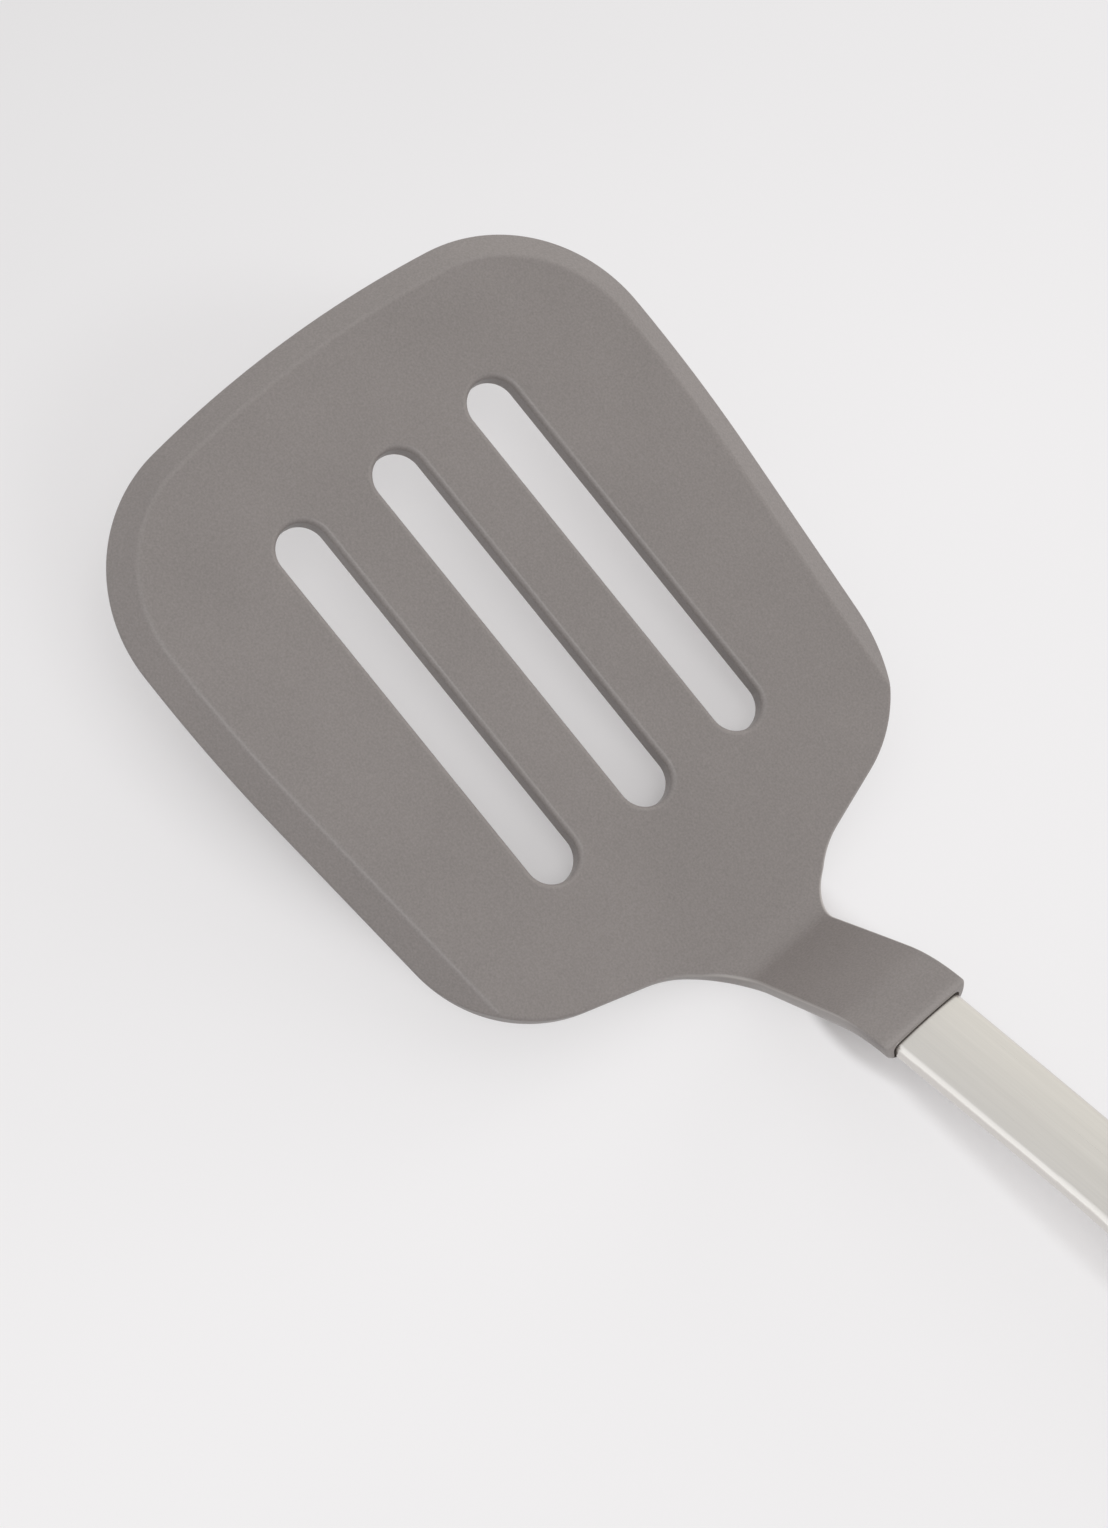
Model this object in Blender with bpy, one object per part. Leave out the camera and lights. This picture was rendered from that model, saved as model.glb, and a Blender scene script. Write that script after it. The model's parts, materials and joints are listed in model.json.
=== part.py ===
"""Slotted kitchen turner: a silicone head moulded over a bent steel core plate, riveted to a flat steel bar.

Every piece is drawn flat, as its blank is cut, and is then folded along one spine: the line of the head's
underside, seen from the side. Flat coordinates are s along the spine from the front edge, y across the
turner and h up from the underside. The folded turner is then laid down on its heel and its handle's end.
Lengths are in metres and bends in degrees.
"""

import math

import bmesh
import bpy
from mathutils import Matrix, Vector

# Spine, from the front edge to the end of the handle
BLADE_LENGTH = 0.1084
HEEL_RADIUS = 0.0105
HEEL_BEND = 59.1
NECK_LENGTH = 0.0179
CREST_RADIUS = 0.0146
CREST_BEND = 28.7
COLLAR_TAIL = 0.0012
HANDLE_LEAD = 0.020
ARCH_RADIUS = 0.425
ARCH_BEND = 19.9
GRIP_TAIL = 0.040

# Outline of the head: where its edges would meet, and the radii that round those corners
BLADE_WIDTH = 0.0960
FRONT_DRAW_IN = 0.0005
REAR_DRAW_IN = 0.0050
CROWN_RISE = 0.0066
CROWN_RADIUS = 0.192
CROWN_TIP = -0.0019
FRONT_CORNER_RADIUS = 0.0253
WIDEST_STATION = 0.0407
SIDE_RADIUS = 0.264
REAR_SETBACK = 0.0109
REAR_CORNER_RADIUS = 0.0224
NECK_ROOT_RADIUS = 0.0157
COLLAR_CORNER_RADIUS = 0.0006

# Section of the head
BLADE_THICKNESS = 0.0033
COLLAR_WALL = 0.0008
COLLAR_SIDE_WALL = 0.0016
NECK_RAMP = 0.012
NECK_BLEND = 0.006
NECK_UNDER_ROUND = 0.0036
NECK_ROUND_SHARE = 0.79
BEVEL_WIDTH = 0.0040
FRONT_EDGE_THICKNESS = 0.0008
BEVEL_LEAST_FACING = 0.2
TOP_EDGE_RADIUS = 0.0005
UNDER_EDGE_RADIUS = 0.0004

# Slots
SLOT_COUNT = 3
SLOT_PITCH = 0.01845
SLOT_WIDTH = 0.0081
SLOT_FRONT_MARGIN = 0.0217
SLOT_REAR_MARGIN = 0.0227
SLOT_LIP_RADIUS = 0.0009

# Core plate inside the head
CORE_THICKNESS = 0.0010
CORE_UNDERSIDE = 0.0010
CORE_EDGE_MARGIN = 0.0065
CORE_NECK_STEP = 0.0012
CORE_END_RADIUS = 0.0015
WINDOW_WALL = 0.0015
LOCK_HOLE_RADIUS = 0.0018
LOCK_HOLE_PITCH = 0.0145
FRONT_LOCK_HOLES = 5
SIDE_LOCK_HOLES = 4
REAR_LOCK_HOLES = 3

# Handle bar, with a thinned tang that laps the core plate
BAR_WIDTH = 0.0124
BAR_THICKNESS = 0.0032
BAR_EDGE_RADIUS = 0.0009
TANG_STEP = 0.0014
TANG_TOP_STEP = 0.00055
TANG_CORNER_RADIUS = 0.0015
TANG_SHOULDER = 0.0012
SHOULDER_RADIUS = 0.0010
LAP_LENGTH = 0.0150
LAP_START = 0.0014
WAIST_WIDTH = 0.0118
GRIP_WIDTH = 0.0200
FLARE_START = 0.036
FLARE_LENGTH = 0.110
FLARE_RADIUS = 0.30
BUTT_FLAT = 0.0016
HANG_HOLE_LENGTH = 0.0140
HANG_HOLE_WIDTH = 0.0062
HANG_HOLE_SETBACK = 0.0165
HANG_HOLE_LIP = 0.0005

# Rivets through the lap
RIVET_SHANK_RADIUS = 0.0013
RIVET_HEAD_RADIUS = 0.0021
RIVET_HEAD_DEPTH = 0.0007
RIVET_SPACING = 0.0074

# Fits: what the silicone leaves round the steel, and what steel leaves round steel
MOULD_GAP = 0.0003
STEEL_GAP = 0.00025
RIVET_GAP = 0.00015

# How finely curves are divided
CHORD_ERROR = 0.00003
BEND_STEP = 6.0
ARCH_STEPS = 18
RAMP_STEPS = 5
UNDER_STEPS = 4
LIP_STEPS = 3
CUT_OVERRUN = 0.002
SLICE_MERGE = 0.000001
PITCH_HALVINGS = 40
SHARP_ANGLE = 35.0

# Widths and thicknesses that follow from those above
FRONT_WIDTH = BLADE_WIDTH - 2 * FRONT_DRAW_IN
REAR_WIDTH = BLADE_WIDTH - 2 * REAR_DRAW_IN
NECK_WIDTH = BAR_WIDTH + 2 * COLLAR_SIDE_WALL
COLLAR_THICKNESS = BAR_THICKNESS + 2 * COLLAR_WALL
CORE_NECK_WIDTH = BAR_WIDTH - 2 * CORE_NECK_STEP
TANG_WIDTH = BAR_WIDTH - 2 * TANG_STEP
BUTT_CORNER_RADIUS = (GRIP_WIDTH - BUTT_FLAT) / 2

# Stations along the spine
HEEL_LENGTH = HEEL_RADIUS * math.radians(HEEL_BEND)
CREST_LENGTH = CREST_RADIUS * math.radians(CREST_BEND)
ARCH_LENGTH = ARCH_RADIUS * math.radians(ARCH_BEND)
HEEL_END = BLADE_LENGTH + HEEL_LENGTH
CREST_START = HEEL_END + NECK_LENGTH
CREST_END = CREST_START + CREST_LENGTH
COLLAR_END = CREST_END + COLLAR_TAIL
ARCH_START = COLLAR_END + HANDLE_LEAD
ARCH_END = ARCH_START + ARCH_LENGTH
HANDLE_END = ARCH_END + GRIP_TAIL
TANG_START = HEEL_END + LAP_START
LAP_END = TANG_START + LAP_LENGTH
CORE_END = LAP_END - STEEL_GAP

# Each stretch of the spine: its length, and how far it bends up
SPINE = (
    (BLADE_LENGTH, 0.0),
    (HEEL_LENGTH, HEEL_BEND),
    (NECK_LENGTH, 0.0),
    (CREST_LENGTH, -CREST_BEND),
    (COLLAR_TAIL + HANDLE_LEAD, 0.0),
    (ARCH_LENGTH, -ARCH_BEND),
    (GRIP_TAIL, 0.0),
)

# Heights of the steel above the head's underside
BAR_UNDERSIDE = (COLLAR_THICKNESS - BAR_THICKNESS) / 2
BAR_TOP = BAR_UNDERSIDE + BAR_THICKNESS
CORE_TOP = CORE_UNDERSIDE + CORE_THICKNESS
TANG_UNDERSIDE = CORE_TOP + STEEL_GAP
TANG_TOP = BAR_TOP - TANG_TOP_STEP

# The head's half outline from front to collar, as (s, y, corner radius)
HEAD_CORNERS = (
    (CROWN_TIP, 0.0, CROWN_RADIUS),
    (CROWN_TIP + CROWN_RISE, FRONT_WIDTH / 2, FRONT_CORNER_RADIUS),
    (WIDEST_STATION, BLADE_WIDTH / 2, SIDE_RADIUS),
    (BLADE_LENGTH - REAR_SETBACK, REAR_WIDTH / 2, REAR_CORNER_RADIUS),
    (BLADE_LENGTH, NECK_WIDTH / 2, NECK_ROOT_RADIUS),
    (COLLAR_END, NECK_WIDTH / 2, COLLAR_CORNER_RADIUS),
)


def spread(start, end, count):
    """Evenly spaced values from start to end, both included."""
    return [start + (end - start) * i / (count - 1) for i in range(count)]


def smooth_step(value, start, end):
    """Rises from 0 at start to 1 at end, level at both."""
    t = min(1.0, max(0.0, (value - start) / (end - start)))
    return t * t * (3 - 2 * t)


# Outlines in the flat


def mirrored(half):
    """Closed corner list, counter-clockwise from above, from a half outline on the +y side."""
    under = [(s, -y, radius) for s, y, radius in half]
    over = [corner for corner in reversed(half) if corner[1] > 0]
    return under + over


def moved_in(half, margins):
    """The half outline with each of its edges moved inwards by its own margin."""
    edges = []
    for (s0, y0, _), (s1, y1, _), margin in zip(half, half[1:], margins):
        along = Vector((s1 - s0, y1 - y0)).normalized()
        edges.append((Vector((s0, y0)) + Vector((along.y, -along.x)) * margin, along))
    start, along = edges[0]
    corners = [(start.x - along.x * start.y / along.y, 0.0, half[0][2] - margins[0])]
    for i in range(1, len(edges)):
        (p, d), (q, e) = edges[i - 1], edges[i]
        turn = d.cross(e)
        point = p + d * ((q - p).cross(e) / turn)
        change = margins[i] if turn > 0 else -margins[i - 1]
        corners.append((point.x, point.y, half[i][2] + change))
    corners.append((half[-1][0], edges[-1][0].y, half[-1][2]))
    return corners


def rounded(corners):
    """Points and outward normals of a closed outline whose corners (s, y, radius) are turned into arcs.

    Where the arcs at an edge's two ends don't both fit on it, each is cut back in the same proportion.
    """
    count = len(corners)
    places = [Vector(corner[:2]) for corner in corners]
    edges = [places[(i + 1) % count] - place for i, place in enumerate(places)]
    turns = [math.atan2(edges[i - 1].cross(edges[i]), edges[i - 1].dot(edges[i])) for i in range(count)]
    reaches = [corner[2] * math.tan(abs(turn) / 2) for corner, turn in zip(corners, turns)]
    room = [min(1.0, edges[i].length / (reaches[i] + reaches[(i + 1) % count])) for i in range(count)]
    points, normals = [], []
    for i, (corner, turn) in enumerate(zip(places, turns)):
        fit = min(room[i - 1], room[i])
        radius = corners[i][2] * fit
        before = edges[i - 1].normalized()
        normal = Vector((before.y, -before.x))
        out = math.copysign(radius, turn)
        centre = corner - before * reaches[i] * fit - normal * out
        step = 2 * math.acos(1 - CHORD_ERROR / radius)
        steps = max(2, math.ceil(abs(turn) / step))
        for k in range(steps + 1):
            turned = Matrix.Rotation(turn * k / steps, 2) @ normal
            points.append(centre + turned * out)
            normals.append(turned)
    return points, normals


def level(points, normals, grow, height):
    """One loop of an outline, moved outwards by grow, at a height."""
    return [(p.x + n.x * grow, p.y + n.y * grow, height) for p, n in zip(points, normals)]


def half_turn(start, radius):
    """Unit vectors round half a circle, from a start angle."""
    count = math.ceil(math.pi / 2 / math.acos(1 - CHORD_ERROR / radius))
    return [Vector((math.cos(start + a), math.sin(start + a))) for a in spread(0, math.pi, count + 1)]


def obround(s_front, s_rear, y, width):
    """Points and outward normals of a slot with round ends."""
    half = width / 2
    rear, front = half_turn(-math.pi / 2, half), half_turn(math.pi / 2, half)
    points = [Vector((s_rear - half, y)) + n * half for n in rear]
    points += [Vector((s_front + half, y)) + n * half for n in front]
    return points, rear + front


def disc(s, y, radius):
    """Points and outward normals of a round hole."""
    normals = half_turn(0, radius)[:-1] + half_turn(math.pi, radius)[:-1]
    return [Vector((s, y)) + n * radius for n in normals], normals


# Solids


def solid(name, *stacks):
    """A mesh object whose bodies are stacks of loops, lowest first, closed by a face below and one above."""
    shape = bmesh.new()
    for loops in stacks:
        rows = [[shape.verts.new(point) for point in loop] for loop in loops]
        count = len(rows[0])
        for low, high in zip(rows, rows[1:]):
            for i in range(count):
                j = (i + 1) % count
                shape.faces.new((low[i], low[j], high[j], high[i]))
        shape.faces.new(list(reversed(rows[0])))
        shape.faces.new(rows[-1])
    mesh = bpy.data.meshes.new(name)
    shape.to_mesh(mesh)
    shape.free()
    piece = bpy.data.objects.new(name, mesh)
    bpy.context.collection.objects.link(piece)
    return piece


def cut(piece, cutter):
    """Takes the cutter's shape out of the piece, and clears the cutter away."""
    modifier = piece.modifiers.new("cut", "BOOLEAN")
    modifier.operation = "DIFFERENCE"
    modifier.solver = "EXACT"
    modifier.object = cutter
    graph = bpy.context.evaluated_depsgraph_get()
    result = bpy.data.meshes.new_from_object(piece.evaluated_get(graph))
    piece.modifiers.clear()
    old = piece.data
    piece.data = result
    bpy.data.meshes.remove(old)
    bpy.data.objects.remove(cutter)


def slice_across(piece, stations):
    """Adds edges across the piece at each station, so that it can bend there."""
    shape = bmesh.new()
    shape.from_mesh(piece.data)
    bmesh.ops.triangulate(shape, faces=shape.faces)
    for s in stations:
        everything = shape.verts[:] + shape.edges[:] + shape.faces[:]
        plane = {"plane_co": (s, 0, 0), "plane_no": (1, 0, 0)}
        bmesh.ops.bisect_plane(shape, geom=everything, dist=SLICE_MERGE, **plane)
    shape.to_mesh(piece.data)
    shape.free()


def spine_at(s):
    """Where the underside is at s, as x, z and heading."""
    x, z, heading = 0.0, 0.0, 0.0
    left = s
    for length, bend in SPINE:
        step = min(left, length)
        turn = math.radians(bend) * step / length
        # A chord stands for the arc: it leaves at half the turn
        chord = step if turn == 0 else 2 * step / turn * math.sin(turn / 2)
        x += chord * math.cos(heading + turn / 2)
        z += chord * math.sin(heading + turn / 2)
        heading += turn
        left -= step
        if left <= 0:
            break
    return x, z, heading


def fold(piece):
    """Bends a flat piece along the spine."""
    for vert in piece.data.vertices:
        s, y, h = vert.co
        x, z, heading = spine_at(s)
        vert.co = (x - h * math.sin(heading), y, z + h * math.cos(heading))


def bend_stations():
    """Stations that divide the heel, the crest and the arch."""
    heel = spread(BLADE_LENGTH, HEEL_END, math.ceil(HEEL_BEND / BEND_STEP) + 1)
    crest = spread(CREST_START, CREST_END, math.ceil(CREST_BEND / BEND_STEP) + 1)
    return heel + crest + spread(ARCH_START, ARCH_END, ARCH_STEPS + 1)


# Head


def bevel_at(point, normal):
    """How wide and how deep the working edge's bevel is at a point of the head's outline.

    The bevel's inner line runs straight on past the rear corner, so the bevel dies out where the corner
    turns in across it. Behind that only a small round is left on the edge.
    """
    side_start, side_end = Vector(HEAD_CORNERS[2][:2]), Vector(HEAD_CORNERS[3][:2])
    side = (side_end - side_start).normalized()
    outward = Vector((-side.y, side.x))
    recess, facing = 0.0, 1.0
    if point.x > (side_start.x + side_end.x) / 2:
        recess = (side_end - Vector((point.x, abs(point.y)))).dot(outward)
        facing = Vector((normal.x, abs(normal.y))).dot(outward)
    width = (BEVEL_WIDTH - recess) / max(facing, BEVEL_LEAST_FACING)
    depth = (BEVEL_WIDTH - recess) * (BLADE_THICKNESS - FRONT_EDGE_THICKNESS) / BEVEL_WIDTH
    if point.x > BLADE_LENGTH or width < TOP_EDGE_RADIUS or depth < TOP_EDGE_RADIUS:
        return TOP_EDGE_RADIUS, TOP_EDGE_RADIUS, True
    return width, depth, False


def under_round(point, normal):
    """How far the underside draws in at a point of the head's outline, and how high its round reaches.

    The blade's underside has a small round all along its edge. The neck's underside is rounded across, so
    there it draws in towards the middle line.
    """
    neck = smooth_step(point.x, BLADE_LENGTH - NECK_BLEND, HEEL_END)
    across = Vector((0, NECK_UNDER_ROUND * point.y / (NECK_WIDTH / 2)))
    draw_in = normal * UNDER_EDGE_RADIUS * (1 - neck) + across * neck
    height = UNDER_EDGE_RADIUS * (1 - neck) + BLADE_THICKNESS * NECK_ROUND_SHARE * neck
    return draw_in, height


def head_loops():
    """The head's outside as loops from the underside up, with its bevel and its rounded edges."""
    points, normals = rounded(mirrored(HEAD_CORNERS))
    loops = []
    for angle in spread(0, math.pi / 2, UNDER_STEPS + 1):
        loop = []
        for point, normal in zip(points, normals):
            draw_in, height = under_round(point, normal)
            place = point - draw_in * (1 - math.sin(angle))
            loop.append((place.x, place.y, height * (1 - math.cos(angle))))
        loops.append(loop)
    edge, middle, top = [], [], []
    for point, normal in zip(points, normals):
        width, depth, is_round = bevel_at(point, normal)
        # The middle of a round lies outside the straight line that a bevel follows
        share = 1 - math.sqrt(1 / 2) if is_round else 1 / 2
        for loop, inset, drop in ((edge, 0, 1), (middle, share, share), (top, 1, 0)):
            place = point - normal * width * inset
            loop.append((place.x, place.y, BLADE_THICKNESS - depth * drop))
    return loops + [edge, middle, top]


def thicken_neck(piece):
    """Raises the head's top from the blade's thickness to the collar's."""
    for vert in piece.data.vertices:
        ramp = smooth_step(vert.co.x, BLADE_LENGTH - NECK_RAMP, COLLAR_END)
        vert.co.z *= 1 + ramp * (COLLAR_THICKNESS / BLADE_THICKNESS - 1)


def slot_places():
    """The middle line of each slot across the blade."""
    return [SLOT_PITCH * (i - (SLOT_COUNT - 1) / 2) for i in range(SLOT_COUNT)]


def slot_stack(y):
    """One slot with its rounded lips, as a cutter."""
    outline = obround(SLOT_FRONT_MARGIN, BLADE_LENGTH - SLOT_REAR_MARGIN, y, SLOT_WIDTH)
    loops = [level(*outline, UNDER_EDGE_RADIUS, -CUT_OVERRUN), level(*outline, UNDER_EDGE_RADIUS, 0.0)]
    loops.append(level(*outline, 0.0, UNDER_EDGE_RADIUS))
    for angle in spread(0, math.pi / 2, LIP_STEPS + 1):
        out, down = SLOT_LIP_RADIUS * (1 - math.cos(angle)), SLOT_LIP_RADIUS * (1 - math.sin(angle))
        loops.append(level(*outline, out, BLADE_THICKNESS - down))
    loops.append(level(*outline, SLOT_LIP_RADIUS, BLADE_THICKNESS + CUT_OVERRUN))
    return loops


def make_head():
    head = solid("silicone_head", head_loops())
    rear = spread(BLADE_LENGTH - NECK_RAMP, BLADE_LENGTH, RAMP_STEPS + 1)
    neck = spread(HEEL_END, CREST_START, RAMP_STEPS + 1)
    slice_across(head, rear + neck + bend_stations())
    thicken_neck(head)
    cut(head, solid("slots", *[slot_stack(y) for y in slot_places()]))
    cut(head, core_blank("core_hollow", MOULD_GAP))
    cut(head, bar_blank("bar_hollow", MOULD_GAP))
    slice_across(head, bend_stations())
    fold(head)
    return head


# Core plate


def lock_hole_places():
    """Holes that the silicone flows through: a row in front of the slots, one behind, and one beside each."""
    window_front = SLOT_FRONT_MARGIN - WINDOW_WALL
    window_rear = BLADE_LENGTH - SLOT_REAR_MARGIN + WINDOW_WALL
    window_side = max(slot_places()) + SLOT_WIDTH / 2 + WINDOW_WALL
    front_s = (CORE_EDGE_MARGIN + window_front) / 2
    rear_s = (window_rear + BLADE_LENGTH) / 2
    side_y = (window_side + REAR_WIDTH / 2 - CORE_EDGE_MARGIN) / 2
    places = []
    for s, count in ((front_s, FRONT_LOCK_HOLES), (rear_s, REAR_LOCK_HOLES)):
        places += [(s, LOCK_HOLE_PITCH * (i - (count - 1) / 2)) for i in range(count)]
    for s in spread(window_front + LOCK_HOLE_PITCH / 2, window_rear - LOCK_HOLE_PITCH / 2, SIDE_LOCK_HOLES):
        places += [(s, -side_y), (s, side_y)]
    return places


def core_blank(name, gap):
    """The core plate in the flat, or with a gap the hollow that the silicone leaves round it."""
    low, high = CORE_UNDERSIDE - gap, CORE_TOP + gap
    margins = [CORE_EDGE_MARGIN] * 4 + [(NECK_WIDTH - CORE_NECK_WIDTH) / 2]
    half = moved_in(HEAD_CORNERS, margins)
    half[-1] = (CORE_END, CORE_NECK_WIDTH / 2, CORE_END_RADIUS)
    plate = rounded(mirrored(half))
    blank = solid(name, [level(*plate, gap, low), level(*plate, gap, high)])
    windows = []
    for y in slot_places():
        window = obround(SLOT_FRONT_MARGIN, BLADE_LENGTH - SLOT_REAR_MARGIN, y, SLOT_WIDTH)
        windows.append((window, WINDOW_WALL - gap))
    holes = [(disc(s, y, LOCK_HOLE_RADIUS), -gap) for s, y in lock_hole_places()]
    stacks = []
    for outline, grow in windows + holes:
        stacks.append([level(*outline, grow, low - CUT_OVERRUN), level(*outline, grow, high + CUT_OVERRUN)])
    cut(blank, solid("core_openings", *stacks))
    return blank


def make_core_plate():
    plate = core_blank("core_plate", 0.0)
    cut(plate, solid("rivet_holes", *[rivet_loops(s, RIVET_GAP) for s in rivet_places()]))
    slice_across(plate, bend_stations())
    fold(plate)
    return plate


# Handle bar


def bar_blank(name, gap):
    """The bar in the flat, or with a gap the hollow that the silicone leaves round its tang and neck."""
    shoulder = LAP_END + TANG_SHOULDER
    half = (
        (TANG_START, TANG_WIDTH / 2, TANG_CORNER_RADIUS),
        (shoulder, TANG_WIDTH / 2, SHOULDER_RADIUS),
        (shoulder + TANG_STEP, BAR_WIDTH / 2, SHOULDER_RADIUS),
        (COLLAR_END + FLARE_START, WAIST_WIDTH / 2, FLARE_RADIUS),
        (COLLAR_END + FLARE_START + FLARE_LENGTH, GRIP_WIDTH / 2, FLARE_RADIUS),
        (HANDLE_END, GRIP_WIDTH / 2, BUTT_CORNER_RADIUS),
    )
    outline = rounded(mirrored(half))
    round_off = BAR_EDGE_RADIUS * (1 - math.sqrt(1 / 2))
    loops = []
    for inset, up in ((BAR_EDGE_RADIUS, 0.0), (round_off, round_off), (0.0, BAR_EDGE_RADIUS)):
        loops.append(level(*outline, gap - inset, BAR_UNDERSIDE - gap + up))
    for inset, down in ((0.0, BAR_EDGE_RADIUS), (round_off, round_off), (BAR_EDGE_RADIUS, 0.0)):
        loops.append(level(*outline, gap - inset, BAR_TOP + gap - down))
    blank = solid(name, loops)
    cut(blank, lap_cutter(gap))
    return blank


def lap_cutter(gap):
    """What is milled off the tang: below to make room for the core plate, above to fit inside the neck."""
    front, rear = TANG_START - CUT_OVERRUN, LAP_END - gap
    side = TANG_WIDTH
    corners = ((front, -side), (rear, -side), (rear, side), (front, side))
    below = (-CUT_OVERRUN, TANG_UNDERSIDE - gap)
    above = (TANG_TOP + gap, BAR_TOP + gap + CUT_OVERRUN)
    return solid("lap", *[[[(s, y, h) for s, y in corners] for h in heights] for heights in (below, above)])


def hang_hole_stack():
    """The hanging hole near the handle's end, eased on both faces."""
    centre = HANDLE_END - HANG_HOLE_SETBACK
    outline = obround(centre - HANG_HOLE_LENGTH / 2, centre + HANG_HOLE_LENGTH / 2, 0.0, HANG_HOLE_WIDTH)
    return [
        level(*outline, HANG_HOLE_LIP, BAR_UNDERSIDE - CUT_OVERRUN),
        level(*outline, HANG_HOLE_LIP, BAR_UNDERSIDE),
        level(*outline, 0.0, BAR_UNDERSIDE + HANG_HOLE_LIP),
        level(*outline, 0.0, BAR_TOP - HANG_HOLE_LIP),
        level(*outline, HANG_HOLE_LIP, BAR_TOP),
        level(*outline, HANG_HOLE_LIP, BAR_TOP + CUT_OVERRUN),
    ]


def make_handle_bar():
    bar = bar_blank("handle_bar", 0.0)
    cut(bar, solid("hang_hole", hang_hole_stack()))
    cut(bar, solid("rivet_holes", *[rivet_loops(s, RIVET_GAP) for s in rivet_places()]))
    slice_across(bar, bend_stations())
    fold(bar)
    return bar


# Rivets


def rivet_places():
    """Stations of the two rivets, about the middle of the lap."""
    middle = (TANG_START + CORE_END) / 2
    return [middle - RIVET_SPACING / 2, middle + RIVET_SPACING / 2]


def rivet_loops(s, gap):
    """A rivet with a flush head at each face of the lap, or with a gap its hole, run past both faces."""
    head, shank = disc(s, 0.0, RIVET_HEAD_RADIUS), RIVET_SHANK_RADIUS - RIVET_HEAD_RADIUS
    loops = [
        level(*head, gap, CORE_UNDERSIDE),
        level(*head, shank + gap, CORE_UNDERSIDE + RIVET_HEAD_DEPTH),
        level(*head, shank + gap, TANG_TOP - RIVET_HEAD_DEPTH),
        level(*head, gap, TANG_TOP),
    ]
    if gap:
        below = level(*head, gap, CORE_UNDERSIDE - CUT_OVERRUN)
        above = level(*head, gap, TANG_TOP + CUT_OVERRUN)
        return [below] + loops + [above]
    return loops


def make_rivets():
    rivets = []
    for place, s in zip(("front", "rear"), rivet_places()):
        rivet = solid(f"tang_rivet_{place}", rivet_loops(s, 0.0))
        fold(rivet)
        rivets.append(rivet)
    return rivets


# Finishes


def finish(name, colour, roughness, metallic):
    """A plain surface finish."""
    material = bpy.data.materials.new(name)
    material.use_nodes = True
    shader = material.node_tree.nodes["Principled BSDF"]
    shader.inputs["Base Color"].default_value = (*colour, 1)
    shader.inputs["Roughness"].default_value = roughness
    shader.inputs["Metallic"].default_value = metallic
    return material


# Laying down


def lowest(piece, pitch):
    """The least height of a piece once the turner is pitched about the y axis."""
    return min(v.co.z * math.cos(pitch) - v.co.x * math.sin(pitch) for v in piece.data.vertices)


def resting_pitch(head, bar):
    """The pitch at which the head's heel and the handle's end are level, found by halving."""
    low, high = 0.0, math.radians(HEEL_BEND)
    for _ in range(PITCH_HALVINGS):
        pitch = (low + high) / 2
        if lowest(bar, pitch) > lowest(head, pitch):
            low = pitch
        else:
            high = pitch
    return pitch


def lay_down(pieces, pitch):
    """Puts the pieces under one empty that rests the turner on z = 0, with its middle over the origin."""
    turned = Matrix.Rotation(pitch, 3, "Y")
    points = [turned @ v.co for piece in pieces for v in piece.data.vertices]
    xs = [p.x for p in points]
    rest = bpy.data.objects.new("turner", None)
    rest.rotation_euler = (0, pitch, 0)
    rest.location = (-(min(xs) + max(xs)) / 2, 0, -min(p.z for p in points))
    bpy.context.collection.objects.link(rest)
    for piece in pieces:
        piece.parent = rest


def main():
    for old in list(bpy.data.objects):
        bpy.data.objects.remove(old)
    head = make_head()
    plate = make_core_plate()
    bar = make_handle_bar()
    rivets = make_rivets()
    silicone = finish("grey_silicone", (0.25, 0.235, 0.223), 0.55, 0.0)
    brushed = finish("brushed_steel", (0.60, 0.58, 0.54), 0.32, 1.0)
    sprung = finish("spring_steel", (0.42, 0.42, 0.43), 0.40, 1.0)
    for piece, material in [(head, silicone), (plate, sprung), (bar, brushed)] + [(r, brushed) for r in rivets]:
        piece.data.materials.clear()
        piece.data.materials.append(material)
        piece.data.shade_smooth()
        piece.data.set_sharp_from_angle(angle=math.radians(SHARP_ANGLE))
    pieces = [head, plate, bar, *rivets]
    lay_down(pieces, resting_pitch(head, bar))


main()
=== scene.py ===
"""Looks of the slotted kitchen turner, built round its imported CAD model.

The silicone head and the steel handle are drawn flat, as blanks. One node tree then punches what
repeats, bends the blank along the turner's spine and lays it down where the frame has it. Flat
coordinates are s along the spine from the front edge, y across the turner and h up from the head's
underside. Lengths are in metres and angles in degrees.
"""

import json
import math

import bmesh
import bpy
from mathutils import Matrix, Vector

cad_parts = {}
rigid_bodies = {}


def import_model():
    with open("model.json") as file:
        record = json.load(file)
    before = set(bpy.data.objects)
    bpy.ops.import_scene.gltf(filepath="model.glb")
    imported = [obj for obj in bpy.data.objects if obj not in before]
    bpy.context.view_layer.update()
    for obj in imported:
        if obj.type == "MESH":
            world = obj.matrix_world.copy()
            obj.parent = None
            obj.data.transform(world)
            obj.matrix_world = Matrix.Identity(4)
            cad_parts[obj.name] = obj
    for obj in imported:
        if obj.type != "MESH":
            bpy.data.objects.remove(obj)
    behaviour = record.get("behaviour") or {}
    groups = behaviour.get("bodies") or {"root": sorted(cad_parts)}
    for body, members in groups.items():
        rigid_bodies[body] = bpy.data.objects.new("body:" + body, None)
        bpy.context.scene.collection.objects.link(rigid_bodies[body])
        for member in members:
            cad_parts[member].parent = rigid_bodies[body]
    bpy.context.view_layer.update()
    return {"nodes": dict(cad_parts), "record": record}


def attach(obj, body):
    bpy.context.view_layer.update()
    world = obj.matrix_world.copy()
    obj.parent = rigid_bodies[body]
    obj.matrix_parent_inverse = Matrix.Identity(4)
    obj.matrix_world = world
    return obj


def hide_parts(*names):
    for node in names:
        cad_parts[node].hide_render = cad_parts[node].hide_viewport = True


for startup_object in list(bpy.data.objects):
    bpy.data.objects.remove(startup_object)
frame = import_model()

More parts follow.
